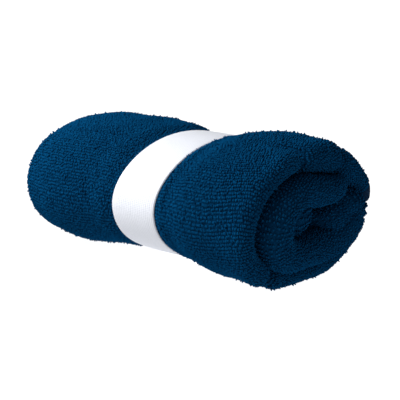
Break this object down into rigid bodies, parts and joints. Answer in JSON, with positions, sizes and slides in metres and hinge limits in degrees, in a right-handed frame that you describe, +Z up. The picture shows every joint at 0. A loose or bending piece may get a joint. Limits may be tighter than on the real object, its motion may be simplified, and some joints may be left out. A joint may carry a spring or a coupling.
{
  "type": "rolled travel towel",
  "caption": "Quick-dry terry towel folded in four, rolled up and held round its middle by a wide white elastic loop.",
  "frame": {"origin": "under the middle of the roll's box, on the surface that it lies on", "axes": "+X along the roll towards the end that shows the thick fold, +Y across it towards the back, where the outer free end lies, +Z up"},
  "size_m": [0.18, 0.117, 0.0791],
  "materials": {
    "terry_blue": "matte",
    "binding_blue": "matte",
    "thread_blue": "satin",
    "elastic_white": "satin",
    "thread_white": "satin",
    "label_white": "satin"
  },
  "bodies": {
    "towel": {"towel_cloth": "terry_blue", "first_side_binding": "binding_blue", "second_side_binding": "binding_blue", "outer_end_binding": "binding_blue", "core_end_binding": "binding_blue", "end_binding_thread": "thread_blue", "care_label": "label_white"},
    "band": {"elastic_band": "elastic_white", "band_seam_thread": "thread_white"}
  },
  "joints": [
    {"name": "band_slide", "type": "slide", "parent": "towel", "child": "band", "axis": [1, 0, 0], "range_m": [-0.112, 0.108], "deforming": ["elastic_band", "band_seam_thread"]}
  ]
}
